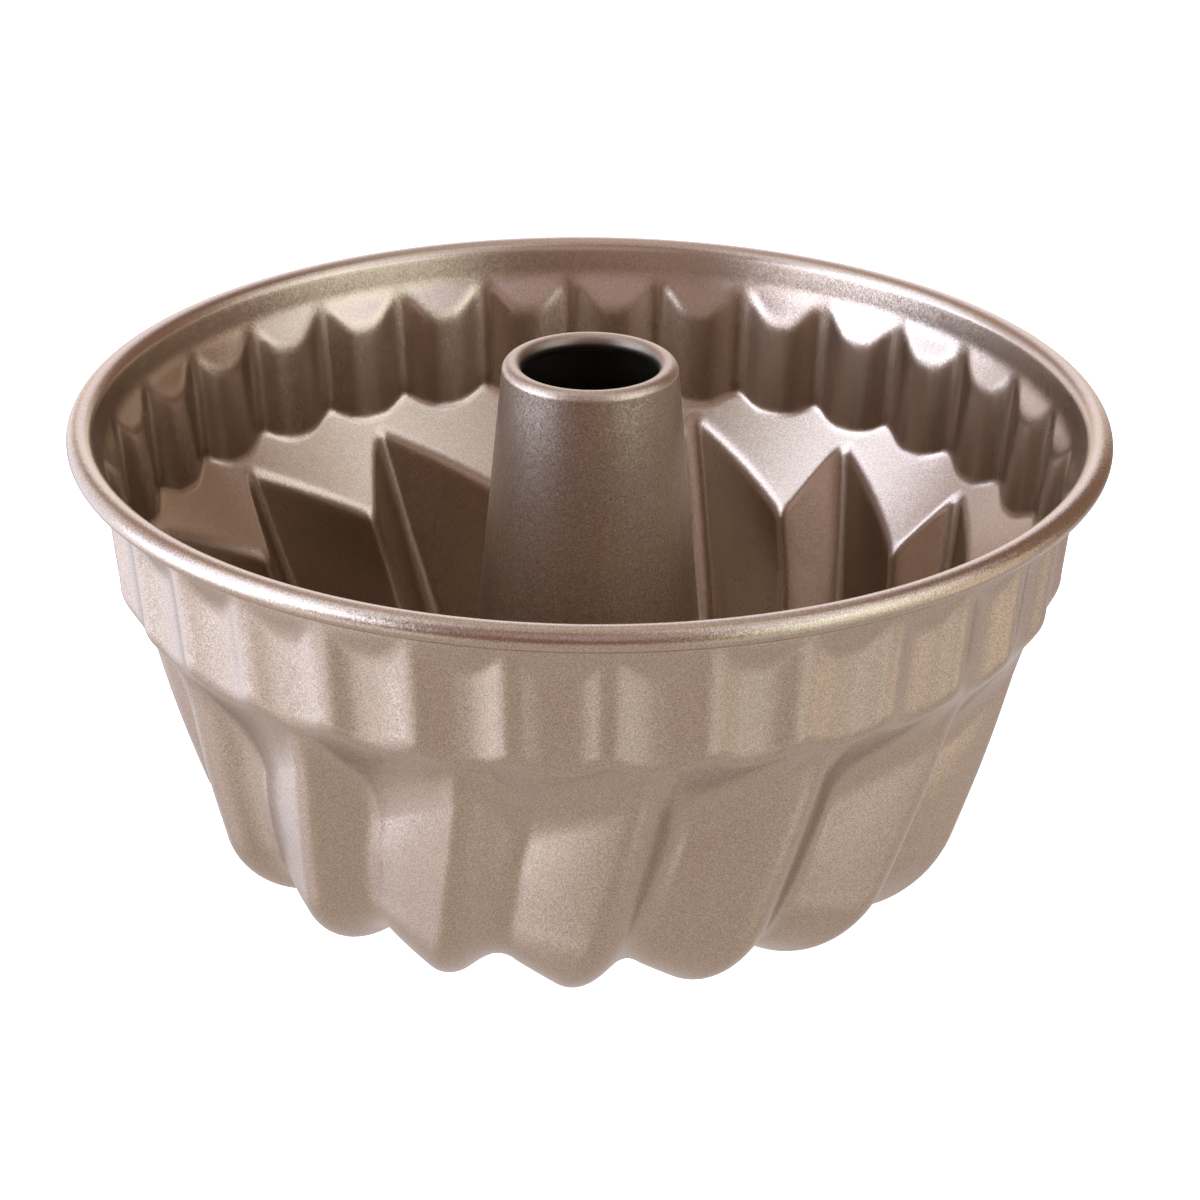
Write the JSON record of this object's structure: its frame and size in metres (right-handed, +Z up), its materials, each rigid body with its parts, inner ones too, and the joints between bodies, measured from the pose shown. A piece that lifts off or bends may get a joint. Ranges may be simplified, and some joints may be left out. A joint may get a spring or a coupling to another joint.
{
  "type": "ring cake tin",
  "caption": "Round fluted ring cake tin with twisted flutes, a ribbed band under its rolled rim and a tapered open centre tube, for baking ring cakes.",
  "frame": {"origin": "on the axis of the ring, in the plane that the flutes' feet stand on", "axes": "+Z up out of the tin's mouth along the centre tube, -Y towards the viewer of the picture, +X to that viewer's right"},
  "size_m": [0.24, 0.24, 0.1251],
  "materials": {
    "coated_steel": "satin champagne-brown metallic non-stick coating with a fine sparkle",
    "wire_steel": "plain drawn steel wire, hidden inside the rolled rim"
  },
  "bodies": {
    "root": {"fluted_body": "coated_steel", "rim_wire": "wire_steel", "centre_tube": "coated_steel"}
  },
  "joints": []
}
